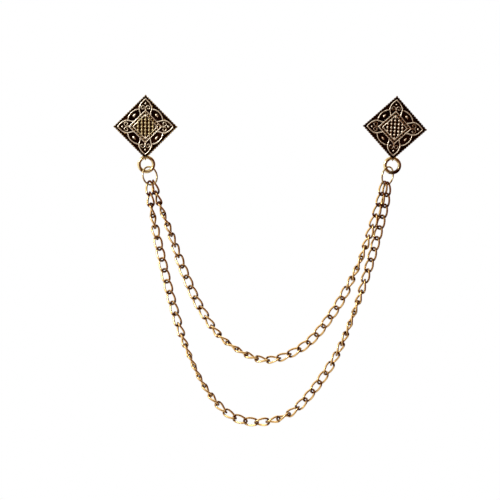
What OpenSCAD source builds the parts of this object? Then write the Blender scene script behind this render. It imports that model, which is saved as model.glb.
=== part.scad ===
// Lapel chain: two cast square pin heads, each set on its corner, with two
// curb chains that hang between them in deep curves.
// Millimetres. X runs from the left pin to the right one, Z is up, and the
// front faces -Y. The cloth lies on the plane Y = 0, and the origin is where
// the left post goes into it.

/* [Pins] */
// Distance between the two posts, centre to centre
pin_spacing = 111.7; // [90:0.1:150]
// How far the right pin sits below the left one
pin_step = 0.5; // [0:0.1:4]
// Turn of the left plate, clockwise from the front
left_tilt = 0.3; // [-5:0.1:5]
// Turn of the right plate, clockwise from the front
right_tilt = 3.8; // [-5:0.1:5]

/* [Plates] */
// Side of the square plate
plate_w = 20.4; // [19.2:0.1:24]
// Thickness of the plate under its ornament
plate_t = 1.4; // [1:0.1:2.5]
// Height of the ornament above the plate
relief_h = 0.8; // [0.5:0.05:1.2]
// Width of the raised lines
line_w = 0.55; // [0.4:0.05:0.7]
// Width of the notched rim
rim_w = 0.6; // [0.45:0.05:0.9]
// Length of one notch of the rim
notch_l = 1.25; // [1:0.05:2]

/* [Ornament] */
// Reach of a corner lobe, as a share of the plate's half diagonal
lobe_reach = 0.86; // [0.8:0.01:0.88]
// Width of a corner lobe
lobe_w = 5.4; // [5:0.1:7]
// Half diagonal of the beaded frame, to its outer line
frame_r = 7.6; // [7:0.1:8]
// Half diagonal of the inner line of the frame
field_r = 5.5; // [5:0.1:5.8]
// Spacing of the beads in the frame
frame_bead_pitch = 1.3; // [1.1:0.05:1.6]
// Spacing of the ribs in the middle field
rib_pitch = 1.66; // [1.4:0.02:2]

/* [Posts] */
// Diameter of the glue pad
pad_d = 8; // [6:0.1:10]
// Thickness of the glue pad
pad_t = 0.6; // [0.4:0.05:1]
// Diameter of the shoulder that bears on the cloth
shoulder_d = 4; // [3:0.1:6]
// Distance from the cloth to the back of the plate
stand_off = 2.55; // [2.3:0.05:4]
// Diameter of the post
post_d = 1.1; // [0.8:0.05:1.5]
// Length of the straight part of the post
post_l = 7; // [5:0.1:10]
// Length of the post's point
point_l = 2; // [1:0.1:3]

/* [Rings] */
// Outer diameter of the thick jump ring
ring_d = 8.1; // [7:0.1:10]
// Wire of the thick jump ring
ring_wire = 1.6; // [1.2:0.02:1.8]
// Distance from the plate's centre down to the ring's centre
ring_drop = 16.8; // [16.4:0.05:17.2]
// Outer diameter of the thin link ring
link_ring_d = 9; // [8:0.1:11]
// Wire of the thin link ring
link_ring_wire = 0.8; // [0.5:0.02:0.9]
// Wire of the lug behind the plate's lower corner
lug_wire = 0.5; // [0.4:0.02:0.7]

/* [Chains] */
// Outer length of a link
link_l = 7.24; // [7:0.02:8]
// Outer width of a link
link_w = 4.25; // [3.8:0.05:5]
// Wire of a link
link_wire = 0.95; // [0.8:0.05:1]
// Twist of a link from end to end
link_twist = 84; // [75:1:95]
// Play between two links, along the chain
link_play = 0.3; // [0.3:0.02:0.6]
// How far the short chain hangs below the link rings
inner_drop = 78.8; // [50:0.1:90]
// How far the long chain hangs below the link rings
outer_drop = 106.4; // [95:0.1:130]

/* [Hidden] */

// Clearances
glue_gap = 0.05;
ring_play = 0.1;
left_hook_play = 0.7;
right_hook_play = 0.28;

// Columns: across, down and tilt of the pin, swing of its ring to the right
left_pin = [0, 0, left_tilt, 7];
right_pin = [pin_spacing, -pin_step, right_tilt, 0];

// Plate, seen from the front, with its corners up, down, left and right
half_diag = plate_w / sqrt(2);
plate_back = stand_off;
floor_z = plate_back + plate_t;
sink = plate_w * 0.015;
notches = round(plate_w / notch_l);
notch_depth = plate_w * 0.0125;
corner_land = plate_w * 0.0225;
lobe_top = half_diag * lobe_reach;
lobe_foot = frame_r - plate_w * 0.085;
lobe_l = lobe_top - lobe_foot;
bead_r = plate_w * 0.024;
horn_r = plate_w * 0.0425;
horn_x = plate_w * 0.055;
horn_z = frame_r + plate_w * 0.0475;
horn_turn = 235;
lobe_bead_z = (horn_z + lobe_top) / 2;
arc_r = plate_w * 0.27;
arc_reach = plate_w * 0.435;
arc_half = 37;
eye_reach = (arc_reach + field_r / sqrt(2) * 1.15) / 2 + plate_w * 0.0275;
eye_half = plate_w * 0.025;
rib_r = plate_w * 0.023;
bump_pitch = plate_w * 0.08;
bump_r = plate_w * 0.031;

// Rings
ring_r = (ring_d - ring_wire) / 2;
link_ring_r = (link_ring_d - link_ring_wire) / 2;
ring_back = plate_back - ring_play - ring_wire / 2;
lug_r = ring_wire / 2 + ring_play + lug_wire / 2;

// Columns: swing from the thick ring, overlap of the two rings, turn about
// the long axis, lean
left_hang = [17.2, 1.98, 42, 13];
right_hang = [-24.1, 2.21, 52, -13];

// Place of a chain's first link on a link ring, in degrees from its foot
left_spread = 18;
right_spread = 16;

// Link
link_a = (link_l - link_wire) / 2;
link_b = (link_w - link_wire) / 2;
link_roundness = 2.7;
link_sections = 14;
wire_sides = 6;
pitch_max = link_l - 2 * link_wire - link_play;
hook = link_a - (link_ring_wire + link_wire) / 2;
first_link = hook - left_hook_play;
last_link = hook - right_hook_play;

// Route of the short chain between its link rings
// Columns: share of the way across, share of the drop, both in hundredths
inner_route = [
    [2.3, 10.8], [7.3, 28.4], [12.9, 49.3], [20.3, 70.7], [31, 89.3],
    [48, 100], [64.9, 92.4], [77.6, 73.6], [87.5, 49.8], [93.8, 27.9],
    [98.2, 10]];

// Route of the long chain, in the same columns
outer_route = [
    [0.5, 8], [2.6, 19.8], [5.7, 34], [9.2, 48.5], [14.8, 67],
    [23.1, 84.9], [33.4, 96.6], [45.2, 100], [57.4, 97.2], [67.1, 88.8],
    [78.2, 72.6], [86.2, 53.6], [92.4, 34.4], [96.4, 19.8], [99.3, 7.5]];

// How far the links are rolled about the chain, 0 with the flat side forward
// Columns: share of the chain's length, roll in degrees
inner_roll = [
    [0, 50], [0.05, 75], [0.1, 112], [0.15, 132], [0.18, 157],
    [0.21, 172], [0.25, 190], [0.31, 213], [0.41, 268], [0.51, 308],
    [0.56, 325], [0.6, 350], [0.72, 364], [0.75, 380], [0.77, 416],
    [0.82, 444], [0.87, 478], [0.92, 500], [1, 522]];
outer_roll = [
    [0, 15], [0.02, 42], [0.04, 80], [0.06, 109], [0.08, 145],
    [0.1, 172], [0.17, 184], [0.24, 207], [0.29, 257], [0.36, 272],
    [0.4, 290], [0.44, 322], [0.48, 355], [0.5, 388], [0.52, 418],
    [0.54, 454], [0.56, 489], [0.58, 522], [0.61, 540], [0.65, 546],
    [0.68, 590], [0.72, 605], [0.78, 638], [0.82, 666], [0.85, 697],
    [0.9, 706], [1, 700]];
route_steps = 16;

$fn = 48;
gold = [0.72, 0.55, 0.27];
pale_gold = [0.86, 0.75, 0.45];
dark_gold = [0.55, 0.4, 0.2];

// Point on a cubic curve through the ends a and d, drawn towards b and c
function bezier(a, b, c, d, t) =
    a * pow(1 - t, 3) + 3 * b * t * pow(1 - t, 2)
    + 3 * c * t * t * (1 - t) + d * pow(t, 3);

function unit(v) = v / norm(v);

// Direction of a line of points at point i
function heading(points, i) =
    unit(points[min(i + 1, len(points) - 1)] - points[max(i - 1, 0)]);

// Outline of a strip of width w along a line of points
function strip(points, w) =
    let (sides = [for (i = [0:len(points) - 1])
        let (h = heading(points, i)) [-h[1], h[0]] * w / 2])
    concat([for (i = [0:len(points) - 1]) points[i] + sides[i]],
           [for (i = [len(points) - 1:-1:0]) points[i] - sides[i]]);

// Arc of points round c, from angle a0 to a1
function arc(c, r, a0, a1, steps) =
    [for (i = [0:steps]) let (a = a0 + (a1 - a0) * i / steps)
        c + r * [cos(a), sin(a)]];

// Notched square outline of the plate, sides along x and y, corners sharp
module notched_plate() {
    h = plate_w / 2;
    run = plate_w - 2 * corner_land;
    side = concat([[-h, -h]], [for (i = [0:notches - 1]) for (k = [0:3])
        [-run / 2 + run * (i + (k + 0.5) / 4) / notches,
         -h + (k == 1 || k == 2 ? notch_depth : 0)]]);
    polygon([for (q = [0:3]) for (p = side)
        [p[0] * cos(90 * q) - p[1] * sin(90 * q),
         p[0] * sin(90 * q) + p[1] * cos(90 * q)]]);
}

// Half of a corner lobe, from its tip to its foot
lobe_tip = [0, lobe_top];
lobe_waist = [lobe_w / 2, lobe_top - lobe_l * 0.61];
lobe_end = [lobe_w * 0.39, lobe_foot];
lobe_side = concat([lobe_tip - [line_w / 4, 0]],
    [for (i = [0:6]) bezier(lobe_tip, lobe_tip + [lobe_w * 0.2, -lobe_l * 0.1],
        lobe_waist + [0, lobe_l * 0.26], lobe_waist, i / 6)],
    [for (i = [1:4]) bezier(lobe_waist, lobe_waist - [0, lobe_l * 0.19],
        lobe_end + [0, lobe_l * 0.14], lobe_end, i / 4)]);

module lobe() {
    relief(relief_h) for (s = [0, 1]) mirror([s, 0, 0])
        polygon(strip(lobe_side, line_w));
    // Two horns that rise from the frame's corner and curl outwards
    relief(relief_h * 0.9) for (s = [0, 1]) mirror([s, 0, 0])
        polygon(strip(concat([[-line_w / 5, frame_r - line_w * 0.75]],
            arc([-horn_x, horn_z], horn_r, 0, horn_turn, 10)),
            line_w * 0.8));
    translate([0, lobe_bead_z, floor_z]) sphere(r = bead_r * 1.1);
}

// A raised layer of the ornament, rooted in the plate
module relief(h) {
    translate([0, 0, floor_z - sink]) linear_extrude(h + sink) children();
}

// Bow between two lobes, with an oval bead behind it
module bow() {
    relief(relief_h) polygon(strip(
        arc([arc_reach - arc_r, 0], arc_r, -arc_half, arc_half, 10), line_w));
    translate([eye_reach, 0, floor_z]) {
        for (s = [-1, 1]) translate([0, s * eye_half, 0])
            sphere(r = bead_r * 1.1);
        rotate([90, 0, 0]) cylinder(r = bead_r * 1.1, h = 2 * eye_half,
            center = true);
    }
}

// Beaded frame round the middle field, sides along x and y
module frame_lines() {
    outer = frame_r * sqrt(2);
    inner = field_r * sqrt(2);
    relief(relief_h) difference() {
        square(outer, center = true);
        square(outer - 2 * line_w * 0.8, center = true);
    }
    relief(relief_h) difference() {
        square(inner + line_w * 0.8, center = true);
        square(inner - line_w * 0.8, center = true);
    }
    track = (outer + inner) / 4 - line_w * 0.15;
    beads = round(2 * track / frame_bead_pitch);
    step = 2 * track / beads;
    for (q = [0:3]) rotate([0, 0, 90 * q]) for (i = [0:beads - 1])
        translate([-track + i * step, -track, floor_z])
            sphere(r = bead_r);
}

// Ribs of stacked bumps in the middle field
module field() {
    reach = field_r - rib_r;
    ribs = floor(reach / rib_pitch);
    for (i = [-ribs:ribs]) {
        half = reach - abs(i) * rib_pitch;
        if (half > bump_r) {
            bumps = floor(half / bump_pitch);
            translate([i * rib_pitch, 0, floor_z]) rotate([90, 0, 0])
                cylinder(r = rib_r, h = 2 * half, center = true);
            for (j = [-bumps:bumps])
                translate([i * rib_pitch, j * bump_pitch, floor_z])
                    sphere(r = bump_r);
        }
    }
}

// Closed loop behind the lower corner that holds the thick ring
module lug() {
    translate([0, -ring_drop + ring_r, ring_back]) rotate([0, 90, 0])
        rotate_extrude() translate([lug_r, 0]) circle(d = lug_wire, $fn = 24);
}

// Plate in its own frame: x across, y up, z towards the viewer
module plate_body() {
    union() {
        rotate([0, 0, 45]) {
            translate([0, 0, plate_back]) linear_extrude(plate_t)
                notched_plate();
            relief(relief_h * 0.75) difference() {
                notched_plate();
                square(plate_w - 2 * rim_w, center = true);
            }
            frame_lines();
            for (q = [0:3]) rotate([0, 0, 90 * q]) bow();
        }
        for (q = [0:3]) rotate([0, 0, 90 * q]) lobe();
        field();
        lug();
    }
}

// Puts a pin's own frame on the cloth
module at_pin(pin) {
    translate([pin[0], 0, pin[1]]) rotate([0, pin[2], 0])
        rotate([90, 0, 0]) children();
}

// Plain glue-on post with its pad and shoulder, one turned piece
module post_body() {
    pad_front = plate_back - glue_gap;
    union() {
        translate([0, 0, pad_front - pad_t]) cylinder(d = pad_d, h = pad_t);
        cylinder(d = shoulder_d, h = pad_front - pad_t / 2);
        translate([0, 0, -post_l]) cylinder(d = post_d, h = post_l + 1);
        translate([0, 0, -post_l - point_l])
            cylinder(d1 = post_d * 0.15, d2 = post_d, h = point_l);
    }
}

module torus(r, wire) {
    rotate_extrude(angle = 360) translate([r, 0]) circle(d = wire);
}

module ring_body(swing) {
    translate([0, -ring_drop + ring_r, ring_back]) rotate([0, 0, swing])
        translate([0, -ring_r, 0]) torus(ring_r, ring_wire);
}

// Centre of the thick ring under a pin, across and down
function ring_centre(pin) =
    let (top = ring_drop - ring_r, turn = pin[2] - pin[3])
    [pin[0] - top * sin(pin[2]) - ring_r * sin(turn),
     pin[1] - top * cos(pin[2]) - ring_r * cos(turn)];

// Centre of the thin link ring that hangs from it
function link_ring_centre(pin, hang) =
    let (d = ring_r + link_ring_r - hang[1], c = ring_centre(pin))
    [c[0] + d * sin(hang[0]), -ring_back, c[1] - d * cos(hang[0])];

module link_ring_body(pin, hang) {
    translate(link_ring_centre(pin, hang)) rotate([0, -hang[3], 0])
        rotate([0, 0, hang[2]]) rotate([90, 0, 0])
            torus(link_ring_r, link_ring_wire);
}

// Point of a link ring's wire, at an angle from its foot
function ring_foot(pin, hang, a) =
    let (x = link_ring_r * sin(a) * cos(hang[2]),
         y = link_ring_r * sin(a) * sin(hang[2]),
         z = -link_ring_r * cos(a))
    link_ring_centre(pin, hang)
    + [x * cos(hang[3]) - z * sin(hang[3]), y,
       x * sin(hang[3]) + z * cos(hang[3])];

// Route of a chain: its two ends on the link rings, and the table between
function route_points(p, q, drop, table) = concat([p],
    [for (row = table) p + (q - p) * row[0] / 100
        - [0, 0, drop * row[1] / 100]], [q]);

// Slope of the smooth curve at route point k
function slope(r, k) =
    k == 0 ? r[1] - r[0]
    : k == len(r) - 1 ? r[k] - r[k - 1]
    : (r[k + 1] - r[k - 1]) / 2;

function smooth(r, k, t) =
    r[k] * (2 * pow(t, 3) - 3 * t * t + 1)
    + slope(r, k) * (pow(t, 3) - 2 * t * t + t)
    + r[k + 1] * (3 * t * t - 2 * pow(t, 3))
    + slope(r, k + 1) * (pow(t, 3) - t * t);

function curve(r) = concat(
    [for (k = [0:len(r) - 2]) for (j = [0:route_steps - 1])
        smooth(r, k, j / route_steps)], [r[len(r) - 1]]);

// Length along a line of points, up to each of them
function lengths(c) = [for (i = 0, s = 0; i < len(c);
    s = s + (i + 1 < len(c) ? norm(c[i + 1] - c[i]) : 0), i = i + 1) s];

// Lookup table of one coordinate against length
function column(c, s, axis) = [for (i = [0:len(c) - 1]) [s[i], c[i][axis]]];

// Plain curve of the link's wire, an oval with full shoulders
function swell(v) = sign(v) * pow(abs(v), 2 / link_roundness);
function oval(a) = [link_a * swell(cos(a)), link_b * swell(sin(a))];

// The same curve twisted about its long axis
function wire_point(a) =
    let (o = oval(a), w = -link_twist * o[0] / (2 * link_a))
    [o[0], o[1] * cos(w), o[1] * sin(w)];
function wire_normal(a) =
    let (w = -link_twist * oval(a)[0] / (2 * link_a)) [0, -sin(w), cos(w)];

module link() {
    n = link_sections;
    m = wire_sides;
    turn = 360 / n;
    points = [for (k = [0:n - 1])
        let (a = k * turn,
             t = unit(wire_point(a + turn / 2) - wire_point(a - turn / 2)),
             v = wire_normal(a),
             e = unit(v - t * (v * t)),
             f = cross(t, e))
        for (j = [0:m - 1]) wire_point(a)
            + link_wire / 2 * (cos(360 * j / m) * e + sin(360 * j / m) * f)];
    faces = [for (k = [0:n - 1]) for (j = [0:m - 1])
        let (p = k * m + j, q = k * m + (j + 1) % m,
             r = ((k + 1) % n) * m + (j + 1) % m, s = ((k + 1) % n) * m + j)
        each [[p, s, r], [p, r, q]]];
    polyhedron(points, faces);
}

module chain(p, q, drop, table, roll) {
    points = curve(route_points(p, q, drop, table));
    s = lengths(points);
    x = column(points, s, 0);
    y = column(points, s, 1);
    z = column(points, s, 2);
    total = s[len(s) - 1];
    span = total - first_link - last_link;
    links = ceil(span / pitch_max - 0.001) + 1;
    pitch = span / (links - 1);
    for (i = [0:links - 1]) {
        at = first_link + i * pitch;
        before = max(at - link_a * 0.8, 0);
        after = min(at + link_a * 0.8, total);
        climb = atan2(lookup(after, z) - lookup(before, z),
            lookup(after, x) - lookup(before, x));
        translate([lookup(at, x), lookup(at, y), lookup(at, z)])
            rotate([0, -climb, 0]) rotate([90, 0, 0])
                rotate([lookup(i / (links - 1), roll), 0, 0]) link();
    }
}

module left_plate() { color(gold) at_pin(left_pin) plate_body(); }
module right_plate() { color(gold) at_pin(right_pin) plate_body(); }
module left_post() { color(dark_gold) at_pin(left_pin) post_body(); }
module right_post() { color(dark_gold) at_pin(right_pin) post_body(); }
module left_ring() {
    color(pale_gold) at_pin(left_pin) ring_body(left_pin[3]);
}
module right_ring() {
    color(pale_gold) at_pin(right_pin) ring_body(right_pin[3]);
}
module left_link_ring() {
    color(pale_gold) link_ring_body(left_pin, left_hang);
}
module right_link_ring() {
    color(pale_gold) link_ring_body(right_pin, right_hang);
}
module inner_chain() {
    color(gold) chain(ring_foot(left_pin, left_hang, left_spread),
        ring_foot(right_pin, right_hang, -right_spread),
        inner_drop, inner_route, inner_roll);
}
module outer_chain() {
    color(gold) chain(ring_foot(left_pin, left_hang, -left_spread),
        ring_foot(right_pin, right_hang, right_spread),
        outer_drop, outer_route, outer_roll);
}

left_plate();
right_plate();
left_post();
right_post();
left_ring();
right_ring();
left_link_ring();
right_link_ring();
inner_chain();
outer_chain();
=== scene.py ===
# %% [markdown]
# # A lapel chain
# Two cast square pin heads, each set on its corner, carry two curb chains
# that hang between them in deep curves. The metal frame that is loaded here
# already has every piece at its real size and place. This lesson makes the
# finished surfaces: rounded ornament, twisted round wire, and antique gold
# that is dark in the hollows and rubbed bright on top.

# %% Load the frame
from math import atan2, ceil, cos, pi, radians, sin, sqrt
import bpy
from mathutils import Matrix, Vector


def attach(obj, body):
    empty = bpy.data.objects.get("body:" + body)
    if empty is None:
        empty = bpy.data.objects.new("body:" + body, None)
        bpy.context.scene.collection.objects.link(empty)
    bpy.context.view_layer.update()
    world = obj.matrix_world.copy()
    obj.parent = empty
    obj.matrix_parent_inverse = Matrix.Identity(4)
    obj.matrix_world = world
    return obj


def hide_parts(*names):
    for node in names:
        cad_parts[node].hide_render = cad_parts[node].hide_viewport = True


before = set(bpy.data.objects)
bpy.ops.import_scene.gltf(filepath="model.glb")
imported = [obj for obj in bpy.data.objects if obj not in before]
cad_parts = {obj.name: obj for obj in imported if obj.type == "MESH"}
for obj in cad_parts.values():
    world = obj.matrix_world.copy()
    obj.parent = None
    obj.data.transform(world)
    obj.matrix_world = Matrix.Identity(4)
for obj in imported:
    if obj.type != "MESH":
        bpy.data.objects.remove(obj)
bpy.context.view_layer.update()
MM = 0.001
print("nodes:", ", ".join(sorted(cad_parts)))

# %% [markdown]
# ## The camera
# The photograph is taken square on, from far enough away that the heads
# show no perspective. A camera without perspective would do, but a long lens
# on a distant camera gives the same view and also looks natural from the side.
# The camera comes first, so that every later look uses the same frame.

# %% Camera
# width of the view, its middle (across, up) and the camera's distance, in metres
VIEW_W = 0.2245
VIEW_CENTRE = (0.0468, -0.0552)
CAMERA_FAR = 1.3
SENSOR_W = 36

bpy.ops.object.camera_add(
    location=(VIEW_CENTRE[0], -CAMERA_FAR, VIEW_CENTRE[1]), rotation=(pi / 2, 0, 0))
camera = bpy.context.object
camera.name = "camera"
camera.data.sensor_width = SENSOR_W
camera.data.lens = SENSOR_W * CAMERA_FAR / VIEW_W
camera.data.clip_end = 10
bpy.context.scene.camera = camera
print("lens", round(camera.data.lens), "mm")

# %% [markdown]
# ## Small helpers for modelling
# An operator works on whatever is selected, and the frame arrives selected.
# So each step first selects its own object and nothing else. Sizes are
# written in millimetres, as a jeweller would, and turned into metres here.

# %% Selecting and editing
FACING = 0.9


def only(*objects):
    """Selects these objects alone and makes the first one active."""
    bpy.ops.object.select_all(action="DESELECT")
    for obj in objects:
        obj.select_set(True)
    bpy.context.view_layer.objects.active = objects[0]


def edit(obj, pick="SELECT", mode="VERT"):
    """Opens obj for editing, with all of it picked, or nothing by DESELECT."""
    only(obj)
    bpy.ops.object.mode_set(mode="EDIT")
    bpy.ops.mesh.select_mode(type=mode)
    bpy.ops.mesh.select_all(action=pick)


def leave_edit():
    bpy.ops.object.mode_set(mode="OBJECT")


def edit_faces(obj, way):
    """Opens obj for editing with the faces picked that look one way."""
    edit(obj, "DESELECT", "FACE")
    leave_edit()
    for face in obj.data.polygons:
        face.select = face.normal.dot(way) > FACING
    bpy.ops.object.mode_set(mode="EDIT")


# %% [markdown]
# ## Shaping and finishing a mesh
# Most of the pieces grow the same way: something picked is drawn out along z.
# At the end its open borders are closed, its doubles merged and its faces
# turned outwards, and edges that a finger would feel as sharp get a bevel.

# %% Shaping and finishing
MERGE_WITHIN = 1e-7
BEVEL_SEGMENTS = 3


def draw_out(height):
    """Extrudes what is picked along z."""
    bpy.ops.mesh.extrude_region_move(
        TRANSFORM_OT_translate={"value": (0, 0, height * MM)})


def close_ends(obj):
    """Fills the open borders of obj with faces."""
    edit(obj, "DESELECT")
    bpy.ops.mesh.select_non_manifold()
    bpy.ops.mesh.edge_face_add()
    leave_edit()


def soften(obj, width, sharper_than):
    """Bevels the edges that are sharper than an angle."""
    only(obj)
    bevel = obj.modifiers.new("soften", "BEVEL")
    bevel.width = width * MM
    bevel.segments = BEVEL_SEGMENTS
    bevel.limit_method = "ANGLE"
    bevel.angle_limit = radians(sharper_than)
    bpy.ops.object.modifier_apply(modifier=bevel.name)


def clean(obj, smooth_under):
    """Merges doubles, turns every face outwards and smooths the round parts."""
    edit(obj)
    bpy.ops.mesh.remove_doubles(threshold=MERGE_WITHIN)
    bpy.ops.mesh.normals_make_consistent(inside=False)
    leave_edit()
    bpy.ops.object.shade_smooth_by_angle(angle=radians(smooth_under))
    return obj


def triangles(obj):
    obj.data.calc_loop_triangles()
    return len(obj.data.loop_triangles)


# %% [markdown]
# ## Copying and placing
# What repeats is modelled once and copied, each copy with its own mesh. A
# piece is placed by a matrix in its mesh, so that its object stays at the
# origin, unturned, and a pattern on Object coordinates stays where it is.

# %% Copying and placing
def named(name, obj):
    obj.name = obj.data.name = name
    return obj


def copy_of(obj, matrix):
    twin = obj.copy()
    twin.data = obj.data.copy()
    twin.data.transform(matrix)
    bpy.context.collection.objects.link(twin)
    return twin


def joined(name, parts):
    only(*parts)
    bpy.ops.object.join()
    return named(name, bpy.context.object)


def flip(axis):
    return Matrix.Scale(-1, 4, axis)


def turn(degrees, axis="Z"):
    return Matrix.Rotation(radians(degrees), 4, axis)


def shift(x, y, z=0):
    return Matrix.Translation((x * MM, y * MM, z * MM))


# %% [markdown]
# ## Where the two pins sit
# Each pin has its own frame, with x across, y up and z towards the viewer.
# A head could be modelled where it hangs, but its leaning axes would make
# every number awkward. So it is modelled flat in the pin's frame and then
# stood up on the cloth with one matrix. The right pin hangs a little lower
# and leans more.

# %% Pins
PLATE_W = 20.4
HALF_DIAG = PLATE_W / sqrt(2)
PLATE_BACK = 2.55
PLATE_T = 1.4
FLOOR = PLATE_BACK + PLATE_T

# across, up, tilt, swing of its thick ring to the right
LEFT_PIN = (0, 0, 0.3, 7)
RIGHT_PIN = (111.7, -0.5, 3.8, 0)


def at_pin(pin):
    """Stands a piece that was modelled flat up at a pin."""
    return (Matrix.Translation((pin[0] * MM, 0, pin[1] * MM))
            @ turn(pin[2], "Y") @ turn(90, "X"))


print("plate corner to corner", round(2 * HALF_DIAG, 1), "mm")

# %% [markdown]
# ## The plate and its notched rim
# The head is a thin square casting. A row of small notches makes its rim
# sparkle, and a narrow channel inside the rim holds dark patina. It could be
# cut out of a box with booleans, but they leave thin faces that shade badly.
# Here the plate starts as a circle of vertices moved out to a square, and the
# border is extruded again and again, a little in and a little up or down each
# time, which draws the section of rim, channel and sloping floor in one go.

# %% Plate section and notches
# inset from the edge, height above the plate's back
PLATE_SECTION = [
    (0.10, 0.00), (0.00, 0.10), (0.00, 1.70), (0.06, 1.86), (0.20, 1.95),
    (0.36, 1.92), (0.48, 1.76), (0.56, 1.50), (0.64, 1.30), (1.30, 1.27),
    (1.80, 1.56), (2.05, 1.60), (2.30, 1.46), (2.45, 1.40)]
RIM_SHOULDER = 1.45
NOTCHES = 16
NOTCH_STEPS = 6
NOTCH_SHARPNESS = 0.7
# how far a notch cuts in from the edge, dips the rim's top and reaches inwards
NOTCH_IN, NOTCH_DIP, NOTCH_REACH = 0.25, 0.42, 0.55
CORNER_LAND = 0.45


def notch(along):
    """1 in the middle of a notch of the rim, 0 on the bumps between them."""
    run = PLATE_W - 2 * CORNER_LAND
    place = (along + run / 2) / run * NOTCHES
    if place < 0 or place > NOTCHES:
        return 0
    return max(0, -cos(2 * pi * place)) ** NOTCH_SHARPNESS


def cut_notches(plate):
    for v in plate.data.vertices:
        x, y, z = v.co / MM
        along, out = (x, y) if abs(y) > abs(x) else (y, x)
        inset = PLATE_W / 2 - abs(out)
        deep = notch(along) * max(0, 1 - inset / NOTCH_REACH)
        pull = 1 - NOTCH_IN * deep / abs(out)
        dip = NOTCH_DIP * deep if z > RIM_SHOULDER else 0
        v.co = Vector((x if out == y else x * pull,
                       y * pull if out == y else y, z - dip)) * MM


# %% Plate
def on_square(share):
    """Point of a square of half width 1, at a share of the way round."""
    side, along = divmod(share * 4, 1)
    return turn(90 * side) @ Vector((2 * along - 1, -1, 0))


def make_plate():
    half = PLATE_W / 2
    count = 4 * NOTCHES * NOTCH_STEPS
    bpy.ops.mesh.primitive_circle_add(vertices=count, radius=half * MM)
    plate = bpy.context.object
    for i, v in enumerate(plate.data.vertices):
        v.co = on_square(i / count) * (half - PLATE_SECTION[0][0]) * MM
    edit(plate)
    for here, there in zip(PLATE_SECTION, PLATE_SECTION[1:]):
        draw_out(there[1] - here[1])
        grow = (half - there[0]) / (half - here[0])
        bpy.ops.transform.resize(value=(grow, grow, 1), center_override=(0, 0, 0))
    bpy.ops.mesh.edge_face_add()
    leave_edit()
    cut_notches(plate)
    close_ends(plate)
    plate.data.transform(turn(45) @ shift(0, 0, PLATE_BACK))
    return clean(plate, smooth_under=35)


plate = make_plate()
print("plate:", triangles(plate), "triangles")

# %% [markdown]
# ## Raised lines and grains
# The ornament is drawn with raised lines that have round tops. They could be
# pushed up out of the plate, but that takes a very fine mesh all over it. A
# curve with a little bevel and some extrusion has just that section, a bar
# with rounded edges, and needs few points. Its foot is sunk in the plate, as a
# cast line's is, and a radius at each point lets it thin out at its ends.
# Between the lines stand round grains, each a sphere that is half sunk.

# %% Raised line and bead
RELIEF = 0.8
LINE_W = 0.55
ROOT = 0.35
LINE_STEPS = 5


def raised_line(points, width=LINE_W, height=RELIEF, ends=1.0, sharp=None):
    """A line through points. ends is its share of width there, sharp a corner."""
    bpy.ops.curve.primitive_bezier_curve_add(location=(0, 0, 0))
    line = bpy.context.object
    spline = line.data.splines[0]
    spline.bezier_points.add(len(points) - 2)
    for i, (knot, p) in enumerate(zip(spline.bezier_points, points)):
        kind = "VECTOR" if i == sharp else "AUTO"
        knot.handle_left_type = knot.handle_right_type = kind
        knot.co = Vector((p[0], p[1], 0)) * MM
        knot.radius = ends if i in (0, len(points) - 1) else 1
    line.data.dimensions = "3D"
    line.data.twist_mode = "Z_UP"
    line.data.resolution_u = LINE_STEPS
    line.data.bevel_depth = width / 2 * MM
    line.data.bevel_resolution = 2
    line.data.extrude = (height + ROOT - width) / 2 * MM
    line.data.use_fill_caps = True
    only(line)
    bpy.ops.object.convert(target="MESH")
    line = bpy.context.object
    line.data.transform(shift(0, 0, FLOOR + (height - ROOT) / 2))
    return line


def bead(x, y, radius, rise, stretch=(1, 1, 1), rings=8, segments=12):
    """A round grain whose middle stands a little above the plate's floor."""
    bpy.ops.mesh.primitive_uv_sphere_add(
        segments=segments, ring_count=rings, radius=radius * MM)
    grain = bpy.context.object
    grain.data.transform(shift(x, y, FLOOR + rise) @ Matrix.Diagonal((*stretch, 1)))
    return grain


# %% [markdown]
# ## The corner lobes
# Each corner holds a pointed arch. Inside it a stem forks into two horns
# that curl outwards, with one bead above them. Half of the arch and one horn
# are drawn and mirrored, so that the lobe is even. One lobe is drawn for the
# upper corner, and the other three are copies turned by quarter turns.

# %% Lobe
LOBE_TOP = HALF_DIAG * 0.86
# across, up: half of the arch, from its tip to its foot under the frame
ARCH = [(1.18, 11.35), (2.2, 10.05), (2.76, 8.55), (2.68, 7.3), (2.4, 6.4),
        (2.25, 5.2)]
# across, up: one horn, from the stem to the end of its curl
HORN = [(-0.12, 7.1), (-0.2, 8.0), (-0.3, 8.85), (-0.85, 9.38), (-1.55, 9.2),
        (-1.92, 8.55), (-1.62, 7.9), (-1.05, 8.0), (-0.98, 8.4)]
HORN_W, HORN_RELIEF = LINE_W * 0.8, RELIEF * 0.85
THIN_END = 0.8
# up, radius, rise
LOBE_BEAD = (10.35, 0.58, 0.22)


def make_lobe():
    arch = [(-x, y) for x, y in reversed(ARCH)] + [(0, LOBE_TOP)] + ARCH
    horn = raised_line(HORN, HORN_W, HORN_RELIEF, ends=THIN_END)
    return joined("lobe", [raised_line(arch, sharp=len(ARCH)), horn,
                           copy_of(horn, flip((1, 0, 0))), bead(0, *LOBE_BEAD)])


def four(part):
    return [part] + [copy_of(part, turn(90 * q)) for q in (1, 2, 3)]


lobes = four(make_lobe())
print("lobe:", triangles(lobes[0]), "triangles")

# %% [markdown]
# ## The side bows
# Between two lobes a bow bulges towards the rim, with an eye-shaped grain
# behind it. A short thin spur stands outside each end of the bow, along the
# lobe beside it. The bow is part of a circle, so a few points worked out from
# an angle serve better than points set by eye. It is drawn for one side and
# turned to the other three.

# %% Bow
BOW_R, BOW_REACH = 5.5, 8.87
# degrees to each side, and from point to point
BOW_HALF, BOW_STEP = 39, 13
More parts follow.
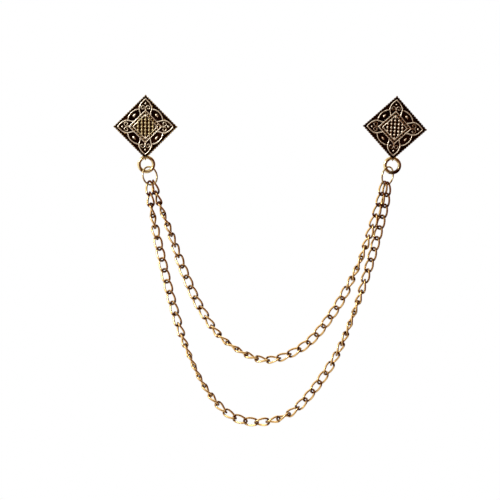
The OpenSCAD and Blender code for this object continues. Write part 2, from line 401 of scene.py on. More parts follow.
# out, across
SPUR = [(8.05, 3.6), (8.5, 4.1), (8.85, 4.8)]
SPUR_W, SPUR_RELIEF, SPUR_END = LINE_W * 0.6, RELIEF * 0.7, 0.5
# radius, rise, stretch, rings and segments
EYE_REACH = 7.1
EYE = (0.62, 0.2, (1, 1.8, 1), 10, 16)


def make_bow():
    arc = [(BOW_REACH - BOW_R + BOW_R * cos(radians(a)), BOW_R * sin(radians(a)))
           for a in range(-BOW_HALF, BOW_HALF + 1, BOW_STEP)]
    bar = raised_line(arc, ends=THIN_END)
    spur = raised_line(SPUR, SPUR_W, SPUR_RELIEF, ends=SPUR_END)
    bow = joined("bow", [bar, spur, copy_of(spur, flip((0, 1, 0))),
                         bead(EYE_REACH, 0, *EYE)])
    bow.data.transform(turn(45))
    return bow


bows = four(make_bow())
print("bow:", triangles(bows[0]), "triangles")

# %% [markdown]
# ## The beaded frame
# Two thin square bars run round the middle field with a row of beads
# between them. A bar could be four lines, whose corners would have to be
# mitred. A plane that is inset, opened, raised and bevelled has clean corners
# from the start.

# %% Frame
FRAME_R, FIELD_R = 7.6, 5.5
BAR_W = LINE_W * 0.8
BAR_EDGE = BAR_W * 0.36
BEAD_PITCH, BEAD_R, BEAD_RISE = 1.3, 0.5, 0.1
BEADS_INWARDS = LINE_W * 0.15


def square_bar(side):
    bpy.ops.mesh.primitive_plane_add(size=side * MM)
    bar = bpy.context.object
    edit(bar, mode="FACE")
    bpy.ops.mesh.inset(thickness=BAR_W * MM)
    bpy.ops.mesh.delete(type="FACE")
    bpy.ops.mesh.select_all(action="SELECT")
    draw_out(RELIEF + ROOT)
    leave_edit()
    bar.data.transform(shift(0, 0, FLOOR - ROOT))
    soften(bar, BAR_EDGE, sharper_than=30)
    return clean(bar, smooth_under=60)


def make_frame():
    outer, inner = FRAME_R * sqrt(2), FIELD_R * sqrt(2)
    parts = [square_bar(outer), square_bar(inner + BAR_W)]
    track = (outer + inner) / 4 - BEADS_INWARDS
    count = round(2 * track / BEAD_PITCH)
    for q in range(4):
        for i in range(count):
            p = turn(90 * q) @ Vector((-track + i * 2 * track / count, -track, 0))
            parts.append(bead(p.x, p.y, BEAD_R, BEAD_RISE, segments=10))
    square = joined("frame", parts)
    square.data.transform(turn(45))
    return square


beaded_frame = make_frame()
print("frame:", triangles(beaded_frame), "triangles")

# %% [markdown]
# ## The ribbed field
# The middle of the head is filled with upright ribs, each a stack of soft
# bumps that run into each other. Separate spheres would look like beads on a
# string, so a rib is one round curve whose radius swells and narrows along it.
# Its ends run in under the bar of the frame. The longest rib stands in the
# middle, and a small grain fills each side corner.

# %% Rib
RIB_PITCH, BUMP_PITCH = 1.66, 1.6
RIBS_BESIDE = 2
RIB_R, RIB_SWELL, RIB_RISE = 0.52, 0.19, 0.2
BUMP_STEPS = 8
# length over which a rib narrows, and the share of its radius left at its end
TAPER, TAPERED = 0.35, 0.45


def make_rib(half):
    steps = round(2 * half / BUMP_PITCH * BUMP_STEPS)
    bpy.ops.curve.primitive_bezier_curve_add(location=(0, 0, 0))
    rib = bpy.context.object
    rib.data.splines.clear()
    spline = rib.data.splines.new("POLY")
    spline.points.add(steps)
    for i, point in enumerate(spline.points):
        y = -half + 2 * half * i / steps
        near_end = min(1, (half - abs(y)) / TAPER + TAPERED)
        swelling = 1 + RIB_SWELL / RIB_R * cos(2 * pi * y / BUMP_PITCH)
        point.co = (0, y * MM, 0, 1)
        point.radius = near_end * swelling
    rib.data.bevel_depth = RIB_R * MM
    rib.data.bevel_resolution = 2
    rib.data.use_fill_caps = True
    only(rib)
    bpy.ops.object.convert(target="MESH")
    return bpy.context.object


# %% Field
SIDE_GRAIN_REACH, SIDE_GRAIN_R = 4.75, 0.4
BED_RISE = 0.16


def make_bed():
    bpy.ops.mesh.primitive_plane_add(size=FIELD_R * sqrt(2) * MM)
    bed = bpy.context.object
    edit(bed)
    draw_out(ROOT)
    leave_edit()
    bed.data.transform(turn(45) @ shift(0, 0, FLOOR + BED_RISE - ROOT))
    return bed


def make_field():
    reach = FIELD_R + BAR_W / 2
    parts = []
    for i in range(-RIBS_BESIDE, RIBS_BESIDE + 1):
        rib = make_rib(reach - abs(i) * RIB_PITCH)
        rib.data.transform(shift(i * RIB_PITCH, 0, FLOOR + RIB_RISE))
        parts.append(rib)
    for side in (-1, 1):
        parts.append(bead(side * SIDE_GRAIN_REACH, 0, SIDE_GRAIN_R, 0))
    return joined("field", parts + [make_bed()])


field = make_field()
print("field:", triangles(field), "triangles")

# %% [markdown]
# ## The lug behind the lower corner
# A small closed loop of wire behind the lower corner holds the thick jump
# ring. From the front only its lowest bit shows under the corner, so a plain
# ring of wire, partly sunk in the plate, is enough.

# %% Lug
RING_D, RING_WIRE, RING_DROP = 8.1, 1.6, 16.8
RING_R = (RING_D - RING_WIRE) / 2
RING_PLAY = 0.1
RING_BACK = PLATE_BACK - RING_PLAY - RING_WIRE / 2
LUG_WIRE = 0.5
LUG_R = RING_WIRE / 2 + RING_PLAY + LUG_WIRE / 2


def make_lug():
    bpy.ops.mesh.primitive_torus_add(
        major_radius=LUG_R * MM, minor_radius=LUG_WIRE / 2 * MM,
        major_segments=36, minor_segments=12)
    lug = bpy.context.object
    lug.data.transform(shift(0, RING_R - RING_DROP, RING_BACK) @ turn(90, "Y"))
    return lug


lug = make_lug()
print("lug:", triangles(lug), "triangles")

# %% [markdown]
# ## Joining and placing the heads
# All parts of the casting are joined into one head. The second head is a
# copy with its own mesh, because the real pair comes from one mould. Each
# takes the place of its plain solid in the frame.

# %% Heads
left_head = joined("left_head", [plate, *lobes, *bows, beaded_frame, field, lug])
clean(left_head, smooth_under=50)
right_head = named("right_head", copy_of(left_head, at_pin(RIGHT_PIN)))
left_head.data.transform(at_pin(LEFT_PIN))
print("head:", triangles(left_head), "triangles")

# %% [markdown]
# ## The posts
# Behind each head a glue pad carries a shoulder and a pointed post. The
# shoulder bears on the cloth and the post goes through it. Its outline could
# be spun round an axis. Here the post starts as a short cylinder whose face is
# inset and extruded, because that follows the way such a part steps down on a
# lathe, and a bevel softens its edges.

# %% Post
PAD_D, PAD_T = 8, 0.6
SHOULDER_D = 4
POST_D, POST_L = 1.1, 7
POINT_L, POINT_SHARE = 2, 0.15
POST_SIDES, POST_EDGE = 48, 0.09
GLUE_GAP = 0.05
BACKWARDS = Vector((0, 0, -1))


def step_down(radius, next_radius, length, tip=1.0):
    """Insets the picked end face and draws it out by a length."""
    if next_radius < radius:
        bpy.ops.mesh.inset(thickness=(radius - next_radius) * MM)
    draw_out(-length)
    bpy.ops.transform.resize(value=(tip, tip, 1))


def make_post():
    front = PLATE_BACK - GLUE_GAP
    bpy.ops.mesh.primitive_cylinder_add(
        vertices=POST_SIDES, radius=PAD_D / 2 * MM, depth=PAD_T * MM,
        location=(0, 0, 0))
    post = bpy.context.object
    post.data.transform(shift(0, 0, front - PAD_T / 2))
    edit_faces(post, BACKWARDS)
    step_down(PAD_D / 2, SHOULDER_D / 2, front - PAD_T)
    step_down(SHOULDER_D / 2, POST_D / 2, POST_L)
    step_down(POST_D / 2, POST_D / 2, POINT_L, tip=POINT_SHARE)
    leave_edit()
    soften(post, POST_EDGE, sharper_than=50)
    return clean(post, smooth_under=40)


left_back = named("left_pin_post", make_post())
right_back = named("right_pin_post", copy_of(left_back, at_pin(RIGHT_PIN)))
left_back.data.transform(at_pin(LEFT_PIN))
print("post:", triangles(left_back), "triangles")

# %% [markdown]
# ## Jump rings
# A jump ring is one turn of round wire whose ends meet in a fine butt seam. A
# ready torus would have no seam. So a circle of the wire's section is spun
# round the ring's axis and stops just short of a full turn, and the two ends
# are then closed.

# %% Jump ring
SEAM_GAP = 0.02
# where round the ring the seam is, steps round the ring, sides of the wire
THICK_MAKE = (62, 72, 20)


def jump_ring(name, radius, wire, make, matrix):
    seam, steps, sides = make
    bpy.ops.mesh.primitive_circle_add(vertices=sides, radius=wire / 2 * MM)
    ring = bpy.context.object
    ring.data.transform(shift(radius, 0) @ turn(90, "X"))
    edit(ring)
    bpy.ops.mesh.spin(steps=steps, angle=2 * pi - SEAM_GAP / radius,
                      center=(0, 0, 0), axis=(0, 0, 1))
    leave_edit()
    close_ends(ring)
    clean(ring, smooth_under=50)
    ring.data.transform(matrix @ turn(seam))
    return named(name, ring)


def thick_ring(name, pin):
    hung = shift(0, RING_R - RING_DROP, RING_BACK) @ turn(pin[3]) @ shift(0, -RING_R)
    return jump_ring(name, RING_R, RING_WIRE, THICK_MAKE, at_pin(pin) @ hung)


thick_rings = [thick_ring("left_jump_ring", LEFT_PIN),
               thick_ring("right_jump_ring", RIGHT_PIN)]
print("thick ring:", triangles(thick_rings[0]), "triangles")

# %% [markdown]
# ## Link rings
# A thinner ring hangs in each thick one and gathers both chains. It swings
# towards the middle, turns about its long axis and leans, so that one side
# passes in front of the thick ring and the other behind it.

# %% Link rings
LINK_RING_D, LINK_RING_WIRE = 9, 0.8
LINK_RING_R = (LINK_RING_D - LINK_RING_WIRE) / 2
THIN_MAKE = (140, 64, 12)

# swing, overlap, turn, lean
LEFT_HANG = (17.2, 1.98, 42, 13)
RIGHT_HANG = (-24.1, 2.21, 52, -13)


def link_ring_centre(pin, hang):
    """Goes down from the pin to the ring's centre, length by length."""
    x, z = pin[0], pin[1]
    runs = [(RING_DROP - RING_R, -pin[2]), (RING_R, pin[3] - pin[2]),
            (RING_R + LINK_RING_R - hang[1], hang[0])]
    for length, angle in runs:
        x += length * sin(radians(angle))
        z -= length * cos(radians(angle))
    return Vector((x, -RING_BACK, z))


def link_ring(name, pin, hang):
    place = (shift(*link_ring_centre(pin, hang)) @ turn(-hang[3], "Y")
             @ turn(hang[2]) @ turn(90, "X"))
    return jump_ring(name, LINK_RING_R, LINK_RING_WIRE, THIN_MAKE, place)


link_rings = [link_ring("left_thin_ring", LEFT_PIN, LEFT_HANG),
              link_ring("right_thin_ring", RIGHT_PIN, RIGHT_HANG)]
print("thin ring:", triangles(link_rings[0]), "triangles")

# %% [markdown]
# ## One twisted link
# Curb chain is made of oval links that are twisted by about a quarter turn,
# so that each link lies flat in the next. A torus that is pressed and twisted
# would have its wire pressed too. So only the centre line of the wire is
# shaped: it starts as a circle, is pressed into an oval with full shoulders
# and twisted about its length, and a curve bevel then gives it round wire.

# %% Link
LINK_L, LINK_W, LINK_WIRE = 7.24, 4.25, 0.95
LINK_A = (LINK_L - LINK_WIRE) / 2
LINK_B = (LINK_W - LINK_WIRE) / 2
LINK_TWIST = 84
LINK_ROUNDNESS = 2.7
LINK_STEPS = 36


def shoulder(share):
    """Pushes a cosine or sine outwards, so that an oval gets full shoulders."""
    return (1 if share > 0 else -1) * abs(share) ** (2 / LINK_ROUNDNESS)


def make_link():
    bpy.ops.mesh.primitive_circle_add(vertices=LINK_STEPS, radius=1)
    link = bpy.context.object
    for i, v in enumerate(link.data.vertices):
        a = 2 * pi * i / LINK_STEPS
        x, h = LINK_A * shoulder(cos(a)), LINK_B * shoulder(sin(a))
        w = radians(-LINK_TWIST * x / (2 * LINK_A))
        v.co = Vector((x, h * cos(w), h * sin(w))) * MM
    only(link)
    bpy.ops.object.convert(target="CURVE")
    link = bpy.context.object
    link.data.bevel_depth = LINK_WIRE / 2 * MM
    link.data.bevel_resolution = 3
    bpy.ops.object.convert(target="MESH")
    return clean(bpy.context.object, smooth_under=60)


link = make_link()
print("link:", triangles(link), "triangles")

# %% [markdown]
# ## Tarnish and painted shade on a link
# Where two links hold each other, and on the sides that face the middle of a
# link, the wire gets painted shade together with some tarnish, and its free
# outer sides stay bright. Noise alone would put the dark anywhere. So each
# vertex remembers how near it lies to an end of the link, and a little of how
# far it faces the middle, in an attribute that the gold reads later.

# %% Tarnish and painted shade
# shares of the link's half length: where the dark starts, and how fast it grows
HELD_FROM, HELD_BLEND = 0.56, 0.17
# painted shade and tarnish of a side, what an end adds, what facing out takes off
SIDE_DARK, END_DARK, OUTSIDE_LESS_SHADED = 0.18, 0.9, 0.42


def limited(share):
    return max(0, min(1, share))


def mark_tarnish_and_shade(link):
    marks = link.data.attributes.new("tarnish_and_shade", "FLOAT", "POINT").data
    for v, mark in zip(link.data.vertices, marks):
        x, y, z = v.co
        outwards = Vector((x / LINK_A ** 2, y / LINK_B ** 2, z / LINK_B ** 2))
        faces_out = v.normal.dot(outwards.normalized())
        held = limited((abs(x / MM) / LINK_A - HELD_FROM) / HELD_BLEND)
        # painted shade and tarnish: dark where links hold each other and on inner sides
        mark.value = limited(SIDE_DARK + END_DARK * held - OUTSIDE_LESS_SHADED * faces_out)
    return [mark.value for mark in marks]


tarnish_and_shade = mark_tarnish_and_shade(link)
print("tarnish:", round(sum(tarnish_and_shade) / len(tarnish_and_shade), 2), "on average")

# %% [markdown]
# ## The run of the chains
# Both chains hang from the link rings. Each route is a short list of points,
# as shares of the way across and of the chain's drop. A smooth curve joins
# them, and the links are set along it at even steps. The links also roll
# slowly about the chain, flat here and edge on there, as a loose chain does.

# %% Routes
INNER_DROP = 78.8
OUTER_DROP = 106.4
# across, down
INNER_ROUTE = [
    (2.3, 10.8), (7.3, 28.4), (12.9, 49.3), (20.3, 70.7), (31, 89.3),
    (48, 100), (64.9, 92.4), (77.6, 73.6), (87.5, 49.8), (93.8, 27.9),
    (98.2, 10)]
OUTER_ROUTE = [
    (0.5, 8), (2.6, 19.8), (5.7, 34), (9.2, 48.5), (14.8, 67),
    (23.1, 84.9), (33.4, 96.6), (45.2, 100), (57.4, 97.2), (67.1, 88.8),
    (78.2, 72.6), (86.2, 53.6), (92.4, 34.4), (96.4, 19.8), (99.3, 7.5)]
# share of the chain's length, roll
INNER_ROLL = [
    (0, 50), (0.05, 75), (0.1, 112), (0.15, 132), (0.18, 157),
    (0.21, 172), (0.25, 190), (0.31, 213), (0.41, 268), (0.51, 308),
    (0.56, 325), (0.6, 350), (0.72, 364), (0.75, 380), (0.77, 416),
    (0.82, 444), (0.87, 478), (0.92, 500), (1, 522)]
OUTER_ROLL = [
    (0, 15), (0.02, 42), (0.04, 80), (0.06, 109), (0.08, 145),
    (0.1, 172), (0.17, 184), (0.24, 207), (0.29, 257), (0.36, 272),
    (0.4, 290), (0.44, 322), (0.48, 355), (0.5, 388), (0.52, 418),
    (0.54, 454), (0.56, 489), (0.58, 522), (0.61, 540), (0.65, 546),
    (0.68, 590), (0.72, 605), (0.78, 638), (0.82, 666), (0.85, 697),
    (0.9, 706), (1, 700)]
print("points of the routes:", len(INNER_ROUTE), "and", len(OUTER_ROUTE))

# %% [markdown]
# ## From a table to a curve
# A chain starts and ends on the wire of a link ring, a little to the side of
# its foot. Between those ends the curve goes through the table's points. At
# each point it runs the way from the point before to the point after.

# %% Curve through a table
ROUTE_STEPS = 16


def ring_foot(pin, hang, spread):
    """Point of a link ring's wire, at an angle from its foot."""
    a, around, lean = radians(spread), radians(hang[2]), radians(hang[3])
    x, y = LINK_RING_R * sin(a) * cos(around), LINK_RING_R * sin(a) * sin(around)
    z = -LINK_RING_R * cos(a)
    return link_ring_centre(pin, hang) + Vector((
        x * cos(lean) - z * sin(lean), y, x * sin(lean) + z * cos(lean)))


def smooth(t, start, start_slope, end, end_slope):
    """Point of a smooth step from start to end, at a share t of it."""
    return (start * (2 * t ** 3 - 3 * t * t + 1)
            + start_slope * (t ** 3 - 2 * t * t + t)
            + end * (3 * t * t - 2 * t ** 3)
            + end_slope * (t ** 3 - t * t))


def route(start, end, drop, table):
    """Points of a smooth curve from start to end through the table's points."""
    down = Vector((0, 0, -drop / 100))
    inner = [start.lerp(end, across / 100) + down * fall for across, fall in table]
    knots = [start] + inner + [end]
    last = len(knots) - 1
    slopes = []
    for k in range(last + 1):
        chord = knots[min(k + 1, last)] - knots[max(k - 1, 0)]
        slopes.append(chord / (1 if k in (0, last) else 2))
    points = [smooth(j / ROUTE_STEPS, knots[k], slopes[k], knots[k + 1], slopes[k + 1])
              for k in range(last) for j in range(ROUTE_STEPS)]
    return points + [end]


# %% Measuring along a route
def measured(points):
    """Pairs of the length from the start and the point there."""
    lengths = [0]
    for a, b in zip(points, points[1:]):
        lengths.append(lengths[-1] + (b - a).length)
    return list(zip(lengths, points))


def between(table, at):
    """Straight-line value of a table of pairs at a place in its first column."""
    for (a, low), (b, high) in zip(table, table[1:]):
        if at <= b:
            return low + (high - low) * (at - a) / (b - a)
    return table[-1][1]


# %% [markdown]
# ## Setting the links
# An array along a curve would set the links by itself, but it can't roll each
# one by its own angle. So the curve is measured, the number of links follows
# from the pitch at which they still have a little play, and one copy of the
# link is set at each step, turned along the chain and rolled. The few links
# next to a ring are made darker.

# %% One link on its route
LINK_PLAY = 0.3
LINK_PITCH = LINK_L - 2 * LINK_WIRE - LINK_PLAY
CHORD_REACH = LINK_A * 0.8
DARK_LINKS, DARK_SHARE = 3, 0.3


def set_link(run, at, roll):
    """A copy of the link at a length of its route, turned along it and rolled."""
    chord = (between(run, min(at + CHORD_REACH, run[-1][0]))
             - between(run, max(at - CHORD_REACH, 0)))
    climb = Matrix.Rotation(-atan2(chord.z, chord.x), 4, "Y")
    return copy_of(link, Matrix.Translation(between(run, at) * MM)
                   @ climb @ turn(90, "X") @ turn(roll, "X"))


def darken(piece):
    for mark in piece.data.attributes["tarnish_and_shade"].data:
        mark.value += DARK_SHARE


# %% Chains
# play of the first and last link on its ring, and how far apart the chains hang
LEFT_HOOK_PLAY, RIGHT_HOOK_PLAY = 0.7, 0.28
LEFT_SPREAD, RIGHT_SPREAD = 18, 16
HOOK = LINK_A - (LINK_RING_WIRE + LINK_WIRE) / 2
ROUNDING = 0.001


def make_chain(name, start, end, drop, table, roll):
    run = measured(route(start, end, drop, table))
    total = run[-1][0]
    first = HOOK - LEFT_HOOK_PLAY
    span = total - first - (HOOK - RIGHT_HOOK_PLAY)
    count = ceil(span / LINK_PITCH - ROUNDING) + 1
    copies = []
    for i in range(count):
        at = first + i * span / (count - 1)
        copies.append(set_link(run, at, between(roll, i / (count - 1))))
        if min(i, count - 1 - i) < DARK_LINKS:
            darken(copies[-1])
    chain = joined(name, copies)
    print(name, count, "links", round(total), "mm long,", triangles(chain), "triangles")
    return chain


short_chain = make_chain("short_curb_chain",
                         ring_foot(LEFT_PIN, LEFT_HANG, LEFT_SPREAD),
                         ring_foot(RIGHT_PIN, RIGHT_HANG, -RIGHT_SPREAD),
                         INNER_DROP, INNER_ROUTE, INNER_ROLL)
long_chain = make_chain("long_curb_chain",
                        ring_foot(LEFT_PIN, LEFT_HANG, -LEFT_SPREAD),
                        ring_foot(RIGHT_PIN, RIGHT_HANG, RIGHT_SPREAD),
                        OUTER_DROP, OUTER_ROUTE, OUTER_ROLL)
bpy.data.objects.remove(link)

# %% [markdown]
# ## Writing shader maths plainly
# A material is a graph of nodes, and long formulas are tiresome to wire by
# hand. The first class below wraps a socket, so that sums and products of
# values are written as ordinary expressions and each adds its own Math node.
# The second holds a graph and adds any other node with one method.

# %% A value in a graph
class Value:
    def __init__(self, graph, socket):
        self.graph, self.socket = graph, socket

    def _math(self, operation, first, second):
        return self.graph.add("ShaderNodeMath", {"operation": operation},
                              {0: first, 1: second})

    def __add__(self, other): return self._math("ADD", self, other)
    def __radd__(self, other): return self._math("ADD", other, self)
    def __sub__(self, other): return self._math("SUBTRACT", self, other)
    def __rsub__(self, other): return self._math("SUBTRACT", other, self)
    def __mul__(self, other): return self._math("MULTIPLY", self, other)
    def __rmul__(self, other): return self._math("MULTIPLY", other, self)
    def __truediv__(self, other): return self._math("DIVIDE", self, other)
    def __rtruediv__(self, other): return self._math("DIVIDE", other, self)
    def __neg__(self): return self._math("MULTIPLY", self, -1.0)


# %% A graph
class Graph:
    def __init__(self, tree):
        self.tree = tree

    def set(self, socket, value):
        """Links a value to a socket, or writes a number or colour into it."""
        if isinstance(value, Value):
            self.tree.links.new(value.socket, socket)
        elif socket.type == "RGBA":
            socket.default_value = (*value, 1)
        else:
            socket.default_value = value

    def set_stops(self, ramp, stops):
        for stop, (at, colour) in zip(ramp.elements, stops):
            stop.position, stop.color = at, (*colour, 1)

    def add(self, kind, settings=None, sockets=None, output=0):
        """Adds a node, its settings first, and gives one of its outputs."""
        node = self.tree.nodes.new(kind)
        for name, value in (settings or {}).items():
            if name == "stops":
                self.set_stops(node.color_ramp, value)
            else:
                setattr(node, name, value)
        for name, value in (sockets or {}).items():
            self.set(node.inputs[name], value)
        return Value(self, node.outputs[output])


# %% [markdown]
# ## A finish
# A finish is a graph with one metal shader at its end. All its patterns start
# from the place on the piece, in the frame's own metres, so a pattern neither
# slides nor stretches. Its helpers speak in millimetres.

# %% A finish
NOISE_ROUGHNESS = 0.55
BLOTCH_DETAIL, GRAIN_DETAIL = 3.0, 4.0


def swing(noise, share):
    """Noise that goes as far below zero as above it."""
    return (noise - 0.5) * share


class Finish(Graph):
    def __init__(self, name):
        self.material = bpy.data.materials.new(name)
        self.material.use_nodes = True
        super().__init__(self.material.node_tree)
        self.shader = self.tree.nodes["Principled BSDF"]
        self.place = self.add("ShaderNodeTexCoord", output="Object")

    def axis(self, letter):
        """Millimetres along one axis of the frame."""
        return self.add("ShaderNodeSeparateXYZ", sockets={0: self.place},
                        output=letter.upper()) / MM

    def distance(self, point):
        """Millimetres from a point of the frame."""
        return self.add("ShaderNodeVectorMath", {"operation": "DISTANCE"},
                        {0: self.place, 1: point * MM}, output="Value") / MM

    def noise(self, size, detail=BLOTCH_DETAIL):
        """Noise whose blotches are about size millimetres wide."""
        return self.add("ShaderNodeTexNoise", sockets={
            "Vector": self.place, "Scale": 1 / (size * MM), "Detail": detail,
            "Roughness": NOISE_ROUGHNESS}, output="Fac")

    def grain(self, size):
        return self.noise(size, GRAIN_DETAIL)

    def rise(self, value, low, high):
        """0 below low, 1 above high, smooth between."""
        return self.add("ShaderNodeMapRange", {"interpolation_type": "SMOOTHSTEP"}, {
            "Value": value, "From Min": low, "From Max": high})

    def mix(self, factor, first, second):
        """The first colour where factor is 0, the second where it is 1."""
        return self.add("ShaderNodeMix", {"data_type": "RGBA"}, {
            0: factor, 6: first, 7: second}, output=2)

    def bump(self, height, strength, depth):
        return self.add("ShaderNodeBump", sockets={
            "Height": height, "Strength": strength, "Distance": depth * MM})

    def wear(self, *pieces, **sockets):
        """Feeds the shader and gives the finish to the pieces."""
        for name, value in sockets.items():
            self.set(self.shader.inputs[name.replace("_", " ").title()], value)
        for piece in pieces:
            piece.data.materials.clear()
            piece.data.materials.append(self.material)
        print(self.material.name, len(self.tree.nodes), "nodes")


# %% [markdown]
# ## Antique gold for the cast heads
# The heads are plated, darkened all over, and then rubbed, so the dark stays
# in the hollows. A node that looks for nearby surfaces could find the hollows,
# but height above the plate's floor is all that the finish needs to know, and
# it comes straight from the Object coordinates, because the heads stand
# upright in the frame. Noise makes the rubbing uneven. The flat back was never
# darkened, so it keeps a plain satin gold. The right head gets painted shade:
# its middle tone is darker and fewer of its tops are bright than on the left.
# The left one's ribs have an olive tint.

# %% Where the cast gold is dark and bright
# millimetres in front of the cloth: where the back ends, where patina begins
BACK_ENDS, PATINA_BEGINS = (2.7, 3.1), (3.0, 3.6)
# shares of the relief's height: where hollows end, where rubbing begins
HOLLOW_ENDS, RUBBING_BEGINS = (0.18, 0.62), (0.65, 0.93)
# millimetres across, between the heads, how much painted shade darkens the
# right one, and how much that painted shade takes off the height that is rubbed
RIGHT_SHADE_FROM, RIGHT_SHADE, SHADE_SINKS_LIFT = (30, 80), 0.9, 0.1
# millimetres from the middle of the left head, and how olive its ribs are
OLIVE_ENDS, OLIVE = (3.8, 4.8), 0.8
# how far blotches and grain vary the height that is rubbed
UNEVEN, GRAINY = 0.6, 0.3

cast = Finish("antique_cast_gold")
depth = -cast.axis("y")
blotch = cast.noise(1.6)
grain = cast.grain(0.35)
# painted shade that grows towards the right head
right_shade = cast.rise(cast.axis("x"), *RIGHT_SHADE_FROM) * RIGHT_SHADE
lift = ((depth - FLOOR) / RELIEF - right_shade * SHADE_SINKS_LIFT
        + swing(blotch, UNEVEN) + swing(grain, GRAINY))
hollow = (1 - cast.rise(lift, *HOLLOW_ENDS)) * cast.rise(depth, *PATINA_BEGINS)
rubbed = cast.rise(lift, *RUBBING_BEGINS)
from_middle = cast.distance(Vector((0, -FLOOR, 0)))
olive = (1 - cast.rise(from_middle, *OLIVE_ENDS)) * OLIVE * rubbed
behind = 1 - cast.rise(depth, *BACK_ENDS)

# %% Cast gold
BRIGHT_GOLD = (1.0, 0.93, 0.78)
MID_GOLD, MID_SHADED = (0.3, 0.18, 0.052), (0.15, 0.055, 0.017)
OLIVE_GOLD = (0.48, 0.4, 0.17)
PATINA = (0.012, 0.003, 0.0015)
BACK_GOLD, BACK_DULL = (0.72, 0.56, 0.3), (0.5, 0.36, 0.17)

# painted shade: a darker middle tone on the right head
unrubbed_and_shaded = cast.mix(right_shade, MID_GOLD, MID_SHADED)
tone = cast.mix(olive, cast.mix(rubbed, unrubbed_and_shaded, BRIGHT_GOLD), OLIVE_GOLD)
plain_back = cast.mix(cast.rise(blotch, 0.35, 0.65), BACK_GOLD, BACK_DULL)
cast.wear(left_head, right_head,
          base_color=cast.mix(behind, cast.mix(hollow, tone, PATINA), plain_back),
          metallic=1.0,
          roughness=0.32 + (hollow + behind * 0.6) * 0.2 + swing(grain, 0.15),
          normal=cast.bump(grain + blotch * 0.5, strength=0.35, depth=0.03))

# %% [markdown]
# ## Gold for the chains
# Chain wire is smooth and bright on its free sides, and the attribute of
# tarnish and painted shade darkens it at the ends of each link and on the
# sides that face its middle. A little noise breaks the edge of that dark, and
# long soft blotches vary the tone from link to link.

# %% Chain gold
CHAIN_BRIGHT, CHAIN_DARK = (0.82, 0.57, 0.25), (0.1, 0.024, 0.004)
DARKENS = (0.35, 0.95)

chain_gold = Finish("antique_chain_gold")
marks = chain_gold.add("ShaderNodeAttribute", {"attribute_name": "tarnish_and_shade"},
                       output="Fac")
patches = chain_gold.noise(3.5)
specks = chain_gold.grain(0.5)
uneven = marks + swing(specks, 0.4) + swing(patches, 0.5)
# painted shade and tarnish darken the wire where the attribute is high
dark = chain_gold.rise(uneven, *DARKENS)
chain_gold.wear(short_chain, long_chain,
                base_color=chain_gold.mix(dark, CHAIN_BRIGHT, CHAIN_DARK),
                metallic=1.0,
                roughness=0.2 + dark * 0.2 + swing(specks, 0.1),
                normal=chain_gold.bump(specks, strength=0.15, depth=0.02))

# %% [markdown]
# ## Gold for the rings and posts
# The thick rings are polished pale gold with faint wear. The thin ones and
# the posts are a duller brass. These finishes differ only in their colours and
# roughness, so one function makes them all. The right thick ring also has
# painted shade near its foot, darker round one point.

# %% Plain gold
RING_SHADE = (0.04, 0.012, 0.005)
RING_SHADE_REACH = 5.2
RING_SHADE_FADES = (0.4, 1.0)


def plain_gold(name, colour, shade, roughness, *pieces, shaded_at=None):
    gold = Finish(name)
    worn = gold.noise(2.2)
    fine = gold.grain(0.3)
    tone = gold.mix(gold.rise(worn, 0.35, 0.7), colour, shade)
    # painted shade: darker round one point of the piece
    if shaded_at:
        away = gold.distance(shaded_at) / RING_SHADE_REACH + swing(worn, 0.4)
        tone = gold.mix(1 - gold.rise(away, *RING_SHADE_FADES), tone, RING_SHADE)
    gold.wear(*pieces,
              base_color=tone,
              metallic=1.0,
              roughness=roughness + swing(fine, 0.12),
              normal=gold.bump(fine, strength=0.12, depth=0.015))


# %% Rings and posts
# colour, shade, roughness
PALE = ((0.86, 0.75, 0.46), (0.54, 0.4, 0.18), 0.12)
DULL = ((0.86, 0.74, 0.42), (0.46, 0.33, 0.13), 0.2)
SATIN = ((0.8, 0.66, 0.38), (0.66, 0.5, 0.26), 0.32)

# the foot of the right thick ring lies to the right of its thin ring's centre
RING_SHADE_FROM_CENTRE = Vector((4.4, 0, 0.6))
# the painted shade on the right thick ring is centred here
foot = link_ring_centre(RIGHT_PIN, RIGHT_HANG) + RING_SHADE_FROM_CENTRE
plain_gold("polished_pale_gold", *PALE, thick_rings[0])
plain_gold("shaded_pale_gold", *PALE, thick_rings[1], shaded_at=foot)
plain_gold("dull_brass", *DULL, *link_rings)
plain_gold("plated_post", *SATIN, left_back, right_back)

# %% [markdown]
# ## The stage
# A small pale floor lies under the hanging chain. The world is plain white
# to the camera. What the metal mirrors is brighter on the upper left and
# falls to brown on the lower right, which gives gold its contrast. A small
# key light, a weak fill and a soft light from above shape the front, and a
# wide soft one behind lights the backs.

# %% Floor
GROUND_Z, GROUND_R = -0.4, 0.33

bpy.ops.mesh.primitive_circle_add(vertices=96, radius=GROUND_R, fill_type="NGON",
                                  location=(0, 0, 0))
ground = named("floor", bpy.context.object)
ground.data.transform(Matrix.Translation((VIEW_CENTRE[0], 0, GROUND_Z)))
Finish("pale_floor").wear(ground, base_color=(0.86, 0.85, 0.83), roughness=0.7)

# %% World
BRIGHT_SIDE = Vector((-0.75, 0.1, 0.66)).normalized()
# how far towards the bright side, what the metal sees there
ROOM = [(0.5, (0.15, 0.048, 0.013)), (0.66, (1.2, 1.12, 0.98))]
WHITE = (1, 1, 1)

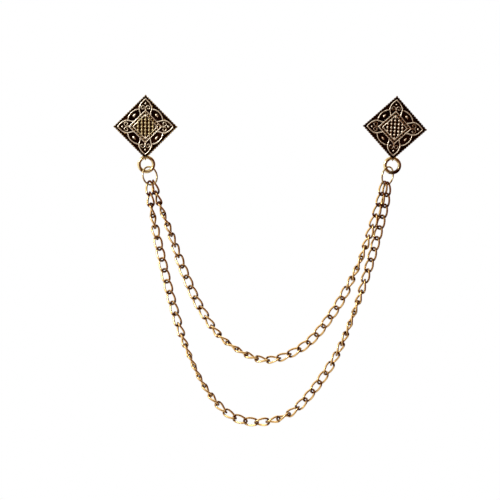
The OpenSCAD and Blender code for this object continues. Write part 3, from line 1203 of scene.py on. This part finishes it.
world = bpy.data.worlds.new("studio")
bpy.context.scene.world = world
world.use_nodes = True
world.node_tree.nodes.clear()
studio = Graph(world.node_tree)
way = studio.add("ShaderNodeTexCoord", output="Generated")
side = studio.add("ShaderNodeVectorMath", {"operation": "DOT_PRODUCT"},
                  {0: way, 1: BRIGHT_SIDE}, output="Value")
room = studio.add("ShaderNodeValToRGB", {"stops": ROOM}, {0: side * 0.5 + 0.5})
metal_sees = studio.add("ShaderNodeBackground", sockets={"Color": room})
camera_sees = studio.add("ShaderNodeBackground", sockets={"Color": WHITE})
is_camera = studio.add("ShaderNodeLightPath", output="Is Camera Ray")
seen = studio.add("ShaderNodeMixShader",
                  sockets={0: is_camera, 1: metal_sees, 2: camera_sees})
studio.set(studio.tree.nodes.new("ShaderNodeOutputWorld").inputs["Surface"], seen)
print("studio", len(studio.tree.nodes), "nodes")

# %% Lights
# name, place, width and height, power
SOFTBOXES = [
    ("key", (-0.24, -0.32, 0.16), (0.12, 0.12), 1.05),
    ("fill", (0.7, -0.8, 0.1), (0.12, 0.6), 0.02),
    ("top", (0.05, -0.1, 0.7), (0.6, 0.3), 0.3),
    ("back", (0.35, 0.8, 0.3), (0.5, 0.5), 1.2)]
MIDDLE = Vector((VIEW_CENTRE[0], 0, VIEW_CENTRE[1]))

for name, place, size, power in SOFTBOXES:
    bpy.ops.object.light_add(type="AREA", location=place)
    lamp = bpy.context.object
    lamp.name = name
    lamp.data.shape = "RECTANGLE"
    lamp.data.size, lamp.data.size_y = size
    lamp.data.energy = power
    lamp.rotation_euler = (MIDDLE - Vector(place)).to_track_quat("-Z", "Y").to_euler()
    lamp.visible_camera = False
    print(name, "light", power, "W")

scene = bpy.context.scene
scene.view_settings.view_transform = "Standard"
scene.view_settings.look = "None"

# %% [markdown]
# ## Joining the frame
# Every piece rides on the one body and takes the place of its plain solid.

# %% Ride and replace
DRESSED = [
    # piece, node, slot
    (left_head, "left_plate", "cast_head"), (right_head, "right_plate", "cast_head"),
    (left_back, "left_post", "post"), (right_back, "right_post", "post"),
    (thick_rings[0], "left_ring", "jump_ring"),
    (thick_rings[1], "right_ring", "jump_ring"),
    (link_rings[0], "left_link_ring", "link_ring"),
    (link_rings[1], "right_link_ring", "link_ring"),
    (short_chain, "inner_chain", "chain"), (long_chain, "outer_chain", "chain")]
for piece, node, finish in DRESSED:
    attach(piece, "root")
    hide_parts(node)

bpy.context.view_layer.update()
print("total", sum(triangles(piece) for piece, _, _ in DRESSED), "triangles")
